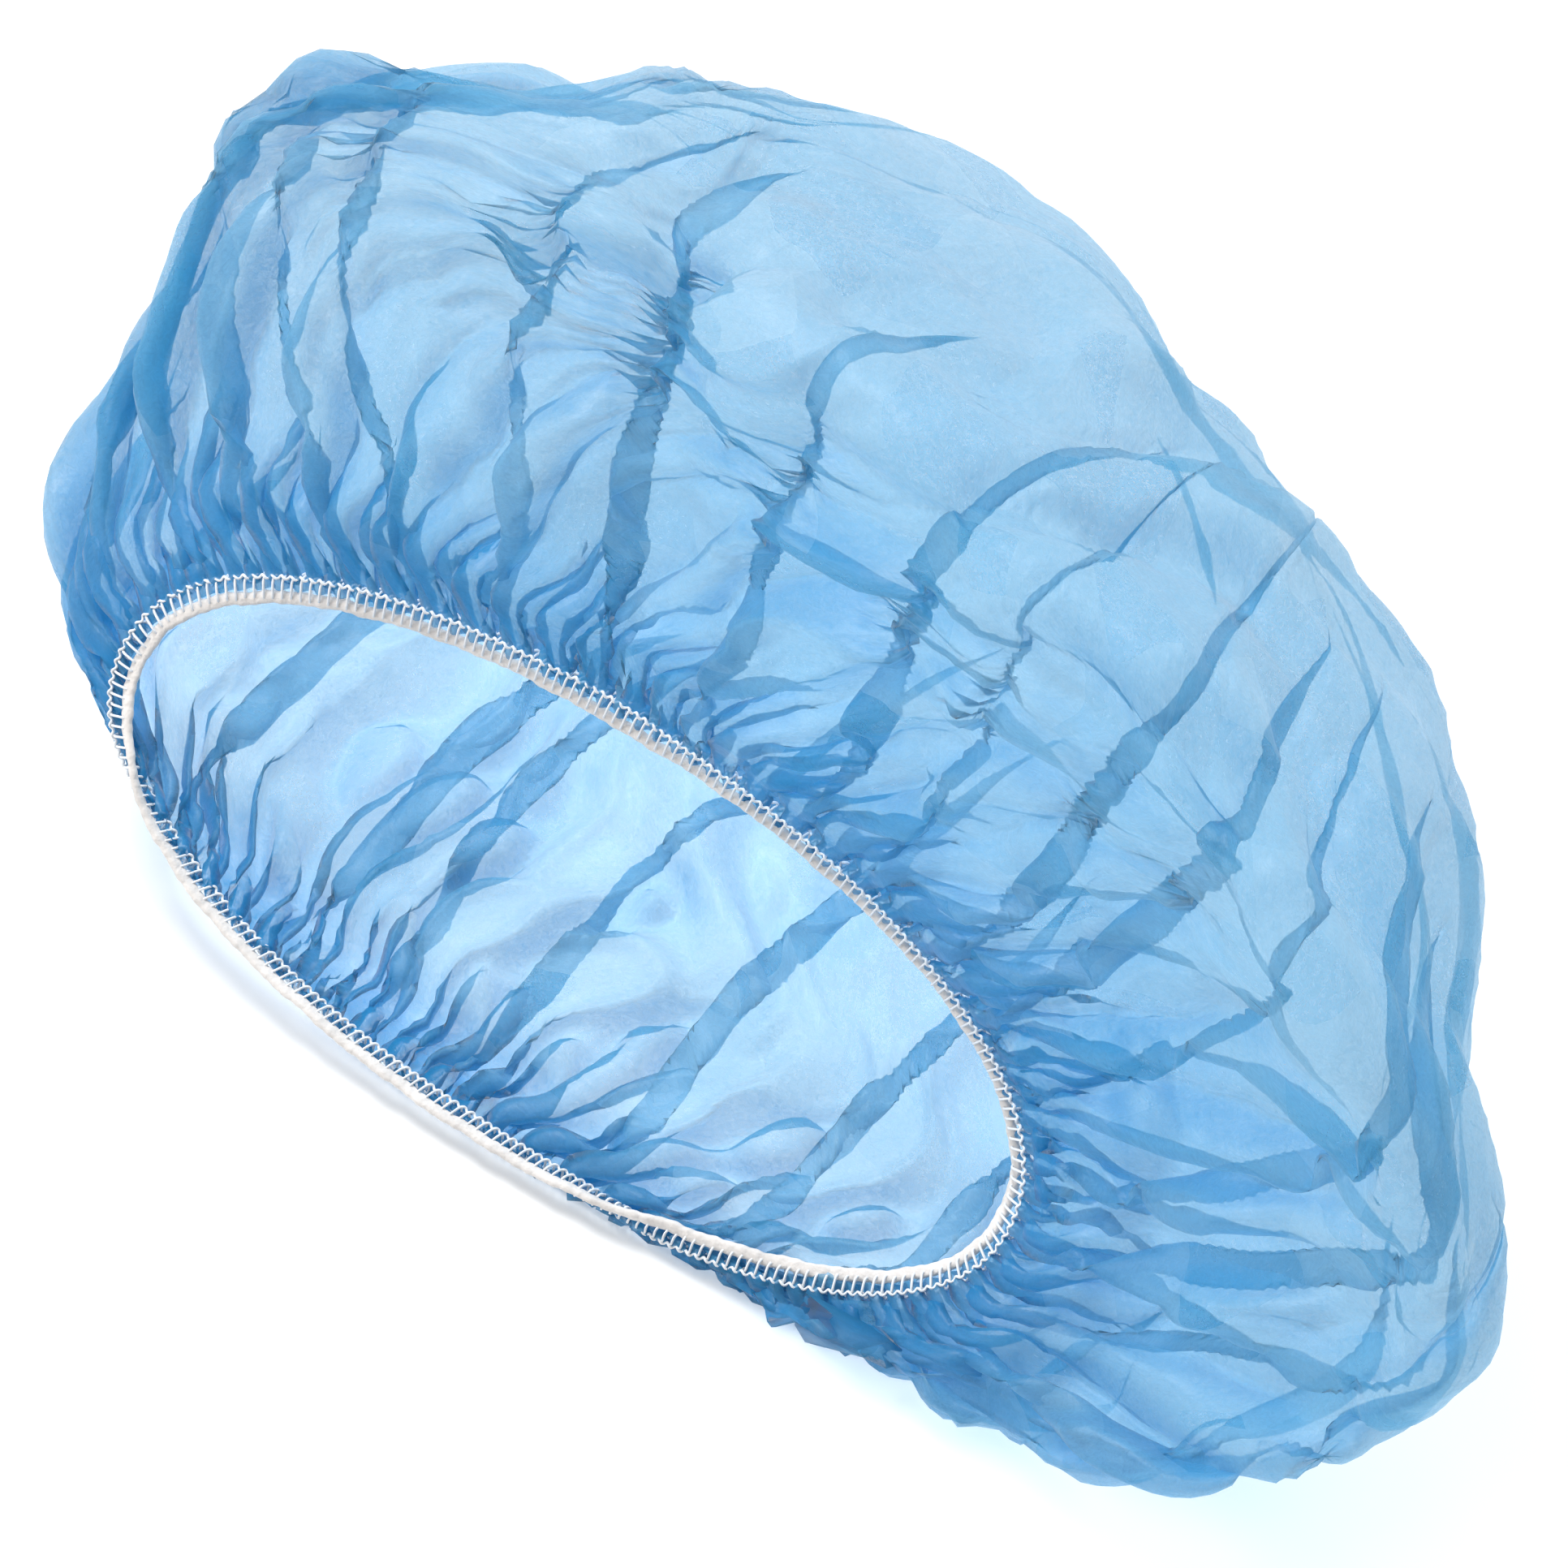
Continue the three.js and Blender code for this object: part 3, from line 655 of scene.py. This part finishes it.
def spunbonded_cloth(looks):
    """Spun-bonded polypropylene, rolled hot: fine dyed fibres lie every way between small bonded
    points and leave half of each layer open, so one layer is pale and a bunch of them is deep
    blue. Random facet cells are paler and denser, partly a random tone of cloth that creasing
    pressed flat and partly a painted sheen highlight. The deep colour is partly the bunched cloth
    at the hem and partly painted shade in streaks between its gathers and on steep fold flanks.
    The face has a dry sheen."""
    tree = NodeTree("spunbonded_polypropylene")
    place = tree.add("ShaderNodeUVMap", uv_map="flat").outputs["UV"]
    fibre = tree.add("ShaderNodeTexNoise", {
        "Vector": place, "Scale": CUT / FIBRE_SIZE, "Detail": 2.0, "Roughness": 0.7,
        "Distortion": 1.2})
    creases = tree.add("ShaderNodeTexNoise", {
        "Vector": place, "Scale": CUT / CREASE_SIZE, "Detail": 4.0, "Roughness": 0.5,
        "Distortion": 0.7},
        noise_type="RIDGED_MULTIFRACTAL")
    bend = tree.add("ShaderNodeTexNoise", {
        "Vector": place, "Scale": CUT / BEND_SIZE, "Detail": 1.0})
    bent = tree.add("ShaderNodeVectorMath", {
        0: bend.outputs["Color"], 1: (0.035, 0.035, 0.0), 2: place}, operation="MULTIPLY_ADD")
    # Random facet cells painted paler and denser: partly a random tone, partly a painted sheen
    # highlight
    facets = tree.add("ShaderNodeTexVoronoi", {
        "Vector": bent.outputs[0], "Scale": CUT / FACET_SIZE})
    crushed_and_sheen = tree.add("ShaderNodeMapRange", {
        "Value": facets.outputs["Color"], 1: 0.2, 2: 0.8, 4: MOST_CRUSHED_SHEEN}).outputs[0]
    # Deep colour and thicker cover: bunched hem cloth, with painted shade in its streaks and on
    # steep fold flanks
    gather_and_shade = tree.add("ShaderNodeAttribute", attribute_name="gather_and_shade").outputs["Fac"]
    colour = tree.add("ShaderNodeMix", {
        "Factor": crushed_and_sheen, 6: (*looks.cloth_blue, 1.0), 7: (*looks.crushed_and_sheen_blue, 1.0)},
        data_type="RGBA").outputs[2]
    colour = tree.add("ShaderNodeMix", {
        "Factor": gather_and_shade, 6: colour, 7: (*looks.deep_and_shaded_blue, 1.0)}, data_type="RGBA").outputs[2]
    grain = tree.add("ShaderNodeBump", {
        "Strength": 0.3, "Distance": 0.0004, "Height": fibre.outputs["Fac"]})
    crumple = tree.add("ShaderNodeBump", {
        "Strength": 1.0, "Distance": 0.006, "Height": creases.outputs["Fac"],
        "Normal": grain.outputs["Normal"]})
    normal = crumple.outputs["Normal"]
    face = tree.add("ShaderNodeBsdfPrincipled", {
        "Base Color": colour, "Roughness": 0.42, "Specular IOR Level": 0.8,
        "Sheen Weight": 0.5, "Sheen Roughness": 0.4, "Normal": normal})
    through = tree.add("ShaderNodeBsdfTranslucent", {"Color": colour, "Normal": normal})
    fibres = tree.add("ShaderNodeMixShader", {
        0: LIT_THROUGH, 1: face.outputs[0], 2: through.outputs[0]})
    open_share = tree.add("ShaderNodeBsdfTransparent", {"Color": (*looks.tint, 1.0)})
    thick = tree.add("ShaderNodeMapRange", {
        "Value": fibre.outputs["Fac"], 1: 0.3, 2: 0.7,
        3: looks.cover - COVER_SPREAD, 4: looks.cover + COVER_SPREAD})
    thick = tree.add("ShaderNodeMath", {0: gather_and_shade, 1: GATHER_AND_SHADE_COVER, 2: thick.outputs[0]},
                     operation="MULTIPLY_ADD")
    thick = tree.add("ShaderNodeMath", {0: crushed_and_sheen, 1: FACET_COVER, 2: thick.outputs[0]},
                     operation="MULTIPLY_ADD")
    whole = tree.add("ShaderNodeMixShader", {
        0: thick.outputs[0], 1: open_share.outputs[0], 2: fibres.outputs[0]})
    shade = tree.add("ShaderNodeBsdfTransparent", {"Color": (*looks.shade, 1.0)})
    is_shadow = tree.add("ShaderNodeLightPath").outputs["Is Shadow Ray"]
    seen = tree.add("ShaderNodeMixShader", {
        0: is_shadow, 1: whole.outputs[0], 2: shade.outputs[0]})
    tree.add("ShaderNodeOutputMaterial", {"Surface": seen.outputs[0]})
    return tree.material


def covered_elastic(looks):
    """Elastic covered with spun yarn: a matt, cream, slightly hairy band with fine ribs across."""
    tree = NodeTree("yarn_covered_elastic")
    place = tree.add("ShaderNodeTexCoord").outputs["Object"]
    ribs = tree.add("ShaderNodeTexNoise", {"Vector": place, "Scale": 900.0, "Detail": 3.0})
    patches = tree.add("ShaderNodeTexNoise", {"Vector": place, "Scale": 160.0, "Detail": 4.0})
    shade = tree.add("ShaderNodeMapRange", {
        "Value": patches.outputs["Fac"], 1: 0.3, 2: 0.7, 3: 0.80, 4: 1.0})
    colour = tree.add("ShaderNodeMix", {
        "Factor": 1.0, 6: (*looks.elastic_cream, 1.0), 7: shade.outputs[0]},
        data_type="RGBA", blend_type="MULTIPLY")
    bump = tree.add("ShaderNodeBump", {
        "Strength": 0.7, "Distance": 0.0005, "Height": ribs.outputs["Fac"]})
    face = tree.add("ShaderNodeBsdfPrincipled", {
        "Base Color": colour.outputs[2], "Roughness": 0.9, "Sheen Weight": 0.3,
        "Normal": bump.outputs["Normal"]})
    tree.add("ShaderNodeOutputMaterial", {"Surface": face.outputs[0]})
    return tree.material


def spun_thread(looks):
    """Spun polyester sewing thread: white, with a soft sheen and fine twist."""
    tree = NodeTree("spun_polyester_thread")
    place = tree.add("ShaderNodeTexCoord").outputs["Object"]
    twist = tree.add("ShaderNodeTexNoise", {"Vector": place, "Scale": 1500.0, "Detail": 2.0})
    bump = tree.add("ShaderNodeBump", {
        "Strength": 0.5, "Distance": 0.0002, "Height": twist.outputs["Fac"]})
    shade = tree.add("ShaderNodeMix", {
        "Factor": twist.outputs["Fac"], 6: (*looks.thread_white, 1.0), 7: (0.72, 0.78, 0.86, 1.0)},
        data_type="RGBA")
    face = tree.add("ShaderNodeBsdfPrincipled", {
        "Base Color": shade.outputs[2], "Roughness": 0.6, "Sheen Weight": 0.2,
        "Normal": bump.outputs["Normal"]})
    tree.add("ShaderNodeOutputMaterial", {"Surface": face.outputs[0]})
    return tree.material


def pale_floor(looks):
    """Matt white studio board."""
    tree = NodeTree("matt_studio_board")
    face = tree.add("ShaderNodeBsdfPrincipled", {
        "Base Color": (*looks.floor_white, 1.0), "Roughness": 0.9})
    tree.add("ShaderNodeOutputMaterial", {"Surface": face.outputs[0]})
    return tree.material


class CapSizes(bpy.types.PropertyGroup):
    """Sizes of the cap"""
    body_length: bpy.props.FloatProperty(
        name="Body length", description="Puffed body, left to right", default=0.276,
        min=0.15, max=0.5, subtype="DISTANCE", unit="LENGTH")
    body_depth: bpy.props.FloatProperty(
        name="Body depth", description="Puffed body, front to back", default=0.190,
        min=0.1, max=0.4, subtype="DISTANCE", unit="LENGTH")
    body_height: bpy.props.FloatProperty(
        name="Body height", description="Puffed body, floor to top", default=0.120,
        min=0.05, max=0.3, subtype="DISTANCE", unit="LENGTH")
    hem_length: bpy.props.FloatProperty(
        name="Hem length", description="Relaxed hem loop, long way", default=0.167,
        min=0.1, max=0.3, subtype="DISTANCE", unit="LENGTH")
    hem_width: bpy.props.FloatProperty(
        name="Hem width", description="Relaxed hem loop, short way", default=0.069,
        min=0.03, max=0.2, subtype="DISTANCE", unit="LENGTH")
    flattening: bpy.props.FloatProperty(
        name="Flattening", description="Height over which the underside eases onto the floor",
        default=0.003, min=0.001, max=0.02, subtype="DISTANCE", unit="LENGTH")
    flat_diameter: bpy.props.FloatProperty(
        name="Flat diameter", description="Disc of cloth that the cap is cut from", default=0.533,
        min=0.3, max=0.7, subtype="DISTANCE", unit="LENGTH")
    slack: bpy.props.FloatProperty(
        name="Slack", description="Length of the cloth from hem to middle over the folds' own",
        default=1.04, min=1.0, max=1.3)
    elastic_width: bpy.props.FloatProperty(
        name="Elastic width", description="Elastic band, across the hem's plane", default=0.0021,
        min=0.001, max=0.01, subtype="DISTANCE", unit="LENGTH")
    elastic_thickness: bpy.props.FloatProperty(
        name="Elastic thickness", description="Elastic band, through the hem's plane",
        default=0.0013, min=0.0005, max=0.005, subtype="DISTANCE", unit="LENGTH")
    stitch_pitch: bpy.props.FloatProperty(
        name="Stitch pitch", description="Spacing of the overlock stitches along the hem",
        default=0.0016, min=0.0008, max=0.005, subtype="DISTANCE", unit="LENGTH")
    thread_radius: bpy.props.FloatProperty(
        name="Thread radius", description="Radius of the sewing thread", default=0.00021,
        min=0.00005, max=0.001, subtype="DISTANCE", unit="LENGTH")


class CapLooks(bpy.types.PropertyGroup):
    """Colours of the cap"""
    cloth_blue: bpy.props.FloatVectorProperty(
        name="Cloth", description="Colour of the cloth's fibres", subtype="COLOR",
        default=linear("46a8d2"))
    # Paler colour of random facet cells: partly a random tone, partly a painted sheen highlight
    crushed_and_sheen_blue: bpy.props.FloatVectorProperty(
        name="Crushed cloth", description="Paler colour of the facets that creasing pressed flat",
        subtype="COLOR", default=linear("bfe0f0"))
    # Deep colour: the bunched hem cloth, partly denser, and painted shade in the hem's streaks and
    # on steep fold flanks
    deep_and_shaded_blue: bpy.props.FloatVectorProperty(
        name="Gathered cloth", description="Colour where the cloth is bunched in the hem",
        subtype="COLOR", default=linear("1092cc"))
    tint: bpy.props.FloatVectorProperty(
        name="Light through", description="Colour of light straight through one layer",
        subtype="COLOR", default=linear("f2f6f8"))
    shade: bpy.props.FloatVectorProperty(
        name="Shade", description="Light that one layer lets past to what it shades",
        subtype="COLOR", default=linear("fafcfd"))
    cover: bpy.props.FloatProperty(
        name="Cover", description="Share of a layer's area that its fibres fill", default=0.44,
        min=0.1, max=1.0, subtype="FACTOR")
    elastic_cream: bpy.props.FloatVectorProperty(
        name="Elastic", description="Colour of the covered elastic", subtype="COLOR",
        default=linear("efeae6"))
    thread_white: bpy.props.FloatVectorProperty(
        name="Thread", description="Colour of the sewing thread", subtype="COLOR",
        default=linear("fbfbfa"))
    floor_white: bpy.props.FloatVectorProperty(
        name="Floor", description="Colour of the studio floor", subtype="COLOR",
        default=linear("fbfbfb"))


def hem_strip(rows, turn, columns):
    """Hem line of the settled cloth made even again, the way along the cloth from it, and the
    way out of the cloth's face, each as one smooth closed curve, from the hem's row and one a
    little way up the cloth."""
    def evened(values, reach):
        width = np.arange(-reach, reach + 1)
        weights = bell(width / (0.5 * reach))
        total = sum(w * np.roll(values, k, axis=0) for k, w in zip(width, weights))
        return total / weights.sum()

    hem = evened(rows[0], 12)
    away = unit(evened(rows[-1] - rows[0], 30))
    ahead = unit(np.roll(hem, -1, axis=0) - np.roll(hem, 1, axis=0))
    away = unit(away - np.einsum("ij,ij->i", away, ahead)[:, None] * ahead)
    out = unit(np.cross(away, ahead))
    places = np.arange(columns) / columns

    def at(values):
        wrapped = np.concatenate([values, values[:1]])
        table = np.concatenate([turn, [1.0]])
        return np.stack([np.interp(places, table, wrapped[:, k]) for k in range(3)], -1)

    return places, at(hem), unit(at(away)), unit(at(out))


class CAP_OT_crown(bpy.types.Operator):
    """Make the gathered crown"""
    bl_idname = "bouffant_cap.crown"
    bl_label = "Crown"

    def execute(self, context):
        sizes = context.scene.cap_sizes
        shape = CapShape(sizes)
        columns, rows = COLUMNS, ROWS
        settled, share, turn, bunched_and_shaded = crown_grid(shape, sizes, columns, rows)
        material = spunbonded_cloth(context.scene.cap_looks)
        points = np.concatenate([settled.reshape(-1, 3), settled[-1].mean(0, keepdims=True)])
        first = rows * columns + np.arange(0, columns, 2)
        after = rows * columns + np.arange(2, columns + 2, 2) % columns
        middle = np.full(columns // 2, (rows + 1) * columns)
        closing = np.stack([first, middle, after, first + 1], -1)
        faces = np.concatenate([ring_faces(rows + 1, columns), closing])
        crown = mesh_object("crown_cloth", points, faces, material)
        mesh = crown.data
        radius = sizes.flat_diameter * MM / 2.0
        flat_x, flat_y = flat_place(turn, share, radius)
        flat = np.stack([flat_x, flat_y], -1).reshape(-1, 2) / (2.0 * radius) + 0.5
        flat = np.concatenate([flat, [[0.5, 0.5]]])
        corner = np.empty(len(mesh.loops), dtype=np.int32)
        mesh.loops.foreach_get("vertex_index", corner)
        layer = mesh.uv_layers.new(name="flat")
        layer.data.foreach_set("uv", flat[corner].astype(np.float32).ravel())
        # Mask of the deep colour: bunched hem cloth, with painted shade in its streaks and on steep
        # fold flanks
        gather_and_shade = mesh.attributes.new("gather_and_shade", "FLOAT", "POINT")
        bunched_and_shaded = np.append(bunched_and_shaded.ravel(), 0.0)
        gather_and_shade.data.foreach_set("value", bunched_and_shaded.astype(np.float32))
        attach(crown, BODY)
        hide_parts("crown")
        context.scene["cap_hem"] = settled[[0, 6]].astype(float).ravel().tolist()
        return {"FINISHED"}


def stored_hem(context):
    """The hem's row of the cloth and one a little way up it, and the turns of their points."""
    rows = np.array(context.scene["cap_hem"]).reshape(2, -1, 3)
    return rows, np.arange(rows.shape[1]) / rows.shape[1]


class CAP_OT_elastic(bpy.types.Operator):
    """Make the elastic band in the hem"""
    bl_idname = "bouffant_cap.elastic"
    bl_label = "Elastic band"

    def execute(self, context):
        sizes = context.scene.cap_sizes
        rows, turn = stored_hem(context)
        places, hem, away, out = hem_strip(rows, turn, ELASTIC_POINTS)
        half = sizes.elastic_width * MM / 2.0
        ribs = waves(places, RIBS)
        path = hem - away * (half + 0.25 + waves(places, SWAY))[:, None]
        path = path + out * waves(places, BOW)[:, None]
        tall = sizes.elastic_thickness * MM / 2.0 * (1.0 + 0.06 * ribs)
        band = carried_tube(path, away, half * (1.0 + 0.05 * ribs), tall, ELASTIC_SIDES)
        lowest = np.minimum(band[..., 2].min(1) - 0.05, 0.0)
        band[..., 2] -= lowest[:, None]
        faces = ring_faces(ELASTIC_POINTS, ELASTIC_SIDES, True)[:, ::-1]
        thing = mesh_object("elastic_loop", band.reshape(-1, 3), faces,
                            covered_elastic(context.scene.cap_looks))
        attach(thing, BODY)
        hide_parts("elastic_band")
        return {"FINISHED"}


class CAP_OT_stitching(bpy.types.Operator):
    """Make the overlock stitching around the hem"""
    bl_idname = "bouffant_cap.stitching"
    bl_label = "Overlock stitching"

    def execute(self, context):
        sizes = context.scene.cap_sizes
        rows, turn = stored_hem(context)
        material = spun_thread(context.scene.cap_looks)
        hem_length = CapShape(sizes).perimeter
        count = int(round(hem_length / (sizes.stitch_pitch * MM)))
        radius = sizes.thread_radius * MM
        places, hem, away, out = hem_strip(rows, turn, count * RUNG_POINTS)
        phase = TURN * count * places
        narrow = 0.5 - 0.5 * np.sin(TURN * places)
        half = RUNG_HALF[0] - RUNG_HALF[1] * narrow + waves(places, RUNG_WANDER)
        middle = RUNG_MIDDLE[0] - RUNG_MIDDLE[1] * narrow
        reach = middle + half * powered(np.cos(phase), 0.7)
        height = RUNG_HEIGHT * powered(np.sin(phase), 0.5)
        path = hem + reach[:, None] * away + height[:, None] * out
        tube = carried_tube(path, np.cos(phase)[:, None] * away + np.sin(phase)[:, None] * out,
                            radius, radius, THREAD_SIDES)
        rungs = mesh_object("overlock_rungs", tube.reshape(-1, 3),
                            ring_faces(len(path), THREAD_SIDES, True)[:, ::-1], material)
        places, hem, away, out = hem_strip(rows, turn, count * CHAIN_POINTS)
        phase = TURN * count * places
        loops = []
        narrow = 0.5 - 0.5 * np.sin(TURN * places)
        reach = CHAIN_PLACE[0] - CHAIN_PLACE[1] * narrow + 0.28 * np.sin(phase)
        height = CHAIN_HEIGHT + 0.2 * np.cos(phase)
        thick = radius * 1.1
        for side in (1, -1):
            path = hem + reach[:, None] * away + (side * height)[:, None] * out
            loops.append(carried_tube(path, out, thick, thick, THREAD_SIDES).reshape(-1, 3))
        faces = ring_faces(len(places), THREAD_SIDES, True)[:, ::-1]
        chain = mesh_object("overlock_chain", np.concatenate(loops),
                            np.concatenate([faces, faces + len(loops[0])]), material)
        for piece in (rungs, chain):
            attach(piece, BODY)
        return {"FINISHED"}


CAMERA_AIM = (-6.0, -16.2, 41.5)  # mm, in the part's frame
CAMERA_AZIMUTH = 32.4
CAMERA_ELEVATION = 60.0
CAMERA_DISTANCE = 1300.0
CAMERA_FRAME = 241.5  # mm that the picture takes in at the aim
SENSOR = 36.0  # mm

AIR_STRENGTH = 0.46
LAMPS = (  # name, place in mm, side in mm, power in watts
    ("key", (-700.0, 500.0, 1500.0), 600.0, 21.0),
    ("fill", (-1000.0, -700.0, 900.0), 1200.0, 9.5),
    ("rim", (300.0, 1400.0, 700.0), 900.0, 6.0),
)
LIGHT_BOUNCES = {  # enough for light through a few layers of cloth
    "max_bounces": 5, "diffuse_bounces": 3, "glossy_bounces": 1, "transmission_bounces": 2,
    "transparent_max_bounces": 20,
}


class CAP_OT_stage(bpy.types.Operator):
    """Make the floor, the studio light and the camera"""
    bl_idname = "bouffant_cap.stage"
    bl_label = "Stage"

    def execute(self, context):
        scene = context.scene
        half = 3000.0
        corners = np.array([(-half, -half, 0), (half, -half, 0), (half, half, 0), (-half, half, 0)])
        floor = mesh_object("studio_floor", corners.astype(float), np.array([[0, 1, 2, 3]]),
                            pale_floor(scene.cap_looks))
        world = bpy.data.worlds.new("studio_air")
        world.use_nodes = True
        world.node_tree.nodes["Background"].inputs[0].default_value = (1.0, 1.0, 1.0, 1.0)
        world.node_tree.nodes["Background"].inputs[1].default_value = AIR_STRENGTH
        scene.world = world
        for name, place, side, power in LAMPS:
            lamp = bpy.data.lights.new(name, "AREA")
            lamp.energy = power
            lamp.size = side / MM
            holder = bpy.data.objects.new(name, lamp)
            holder.location = Vector(place) / MM
            holder.rotation_euler = (-Vector(place)).to_track_quat("-Z", "Y").to_euler()
            scene.collection.objects.link(holder)
        azimuth, elevation = math.radians(CAMERA_AZIMUTH), math.radians(CAMERA_ELEVATION)
        back = Vector((math.sin(azimuth) * math.cos(elevation),
                       -math.cos(azimuth) * math.cos(elevation), math.sin(elevation)))
        lens = bpy.data.cameras.new("camera")
        lens.sensor_width = SENSOR
        lens.lens = SENSOR * CAMERA_DISTANCE / CAMERA_FRAME
        camera = bpy.data.objects.new("camera", lens)
        camera.location = (Vector(CAMERA_AIM) + back * CAMERA_DISTANCE) / MM
        camera.rotation_euler = back.to_track_quat("Z", "Y").to_euler()
        scene.collection.objects.link(camera)
        scene.camera = camera
        scene.view_settings.view_transform = "Standard"
        for name, most in LIGHT_BOUNCES.items():
            setattr(scene.cycles, name, most)
        return {"FINISHED"}


class CAP_PT_panel(bpy.types.Panel):
    """Lists the cap's pieces, sizes and colours"""
    bl_idname = "CAP_PT_panel"
    bl_label = "Bouffant cap"
    bl_space_type = "VIEW_3D"
    bl_region_type = "UI"
    bl_category = "Bouffant cap"

    def draw(self, context):
        layout = self.layout
        for operator in OPERATORS:
            layout.operator(operator.bl_idname)
        for group in (context.scene.cap_sizes, context.scene.cap_looks):
            for name in type(group).__annotations__:
                layout.prop(group, name)


OPERATORS = (CAP_OT_crown, CAP_OT_elastic, CAP_OT_stitching, CAP_OT_stage)
CLASSES = (CapSizes, CapLooks, *OPERATORS, CAP_PT_panel)


def register():
    for item in CLASSES:
        bpy.utils.register_class(item)
    bpy.types.Scene.cap_sizes = bpy.props.PointerProperty(type=CapSizes)
    bpy.types.Scene.cap_looks = bpy.props.PointerProperty(type=CapLooks)


def unregister():
    del bpy.types.Scene.cap_looks
    del bpy.types.Scene.cap_sizes
    for item in reversed(CLASSES):
        bpy.utils.unregister_class(item)


def main():
    register()
    bpy.ops.bouffant_cap.crown()
    bpy.ops.bouffant_cap.elastic()
    bpy.ops.bouffant_cap.stitching()
    bpy.ops.bouffant_cap.stage()


if __name__ == "__main__":
    main()
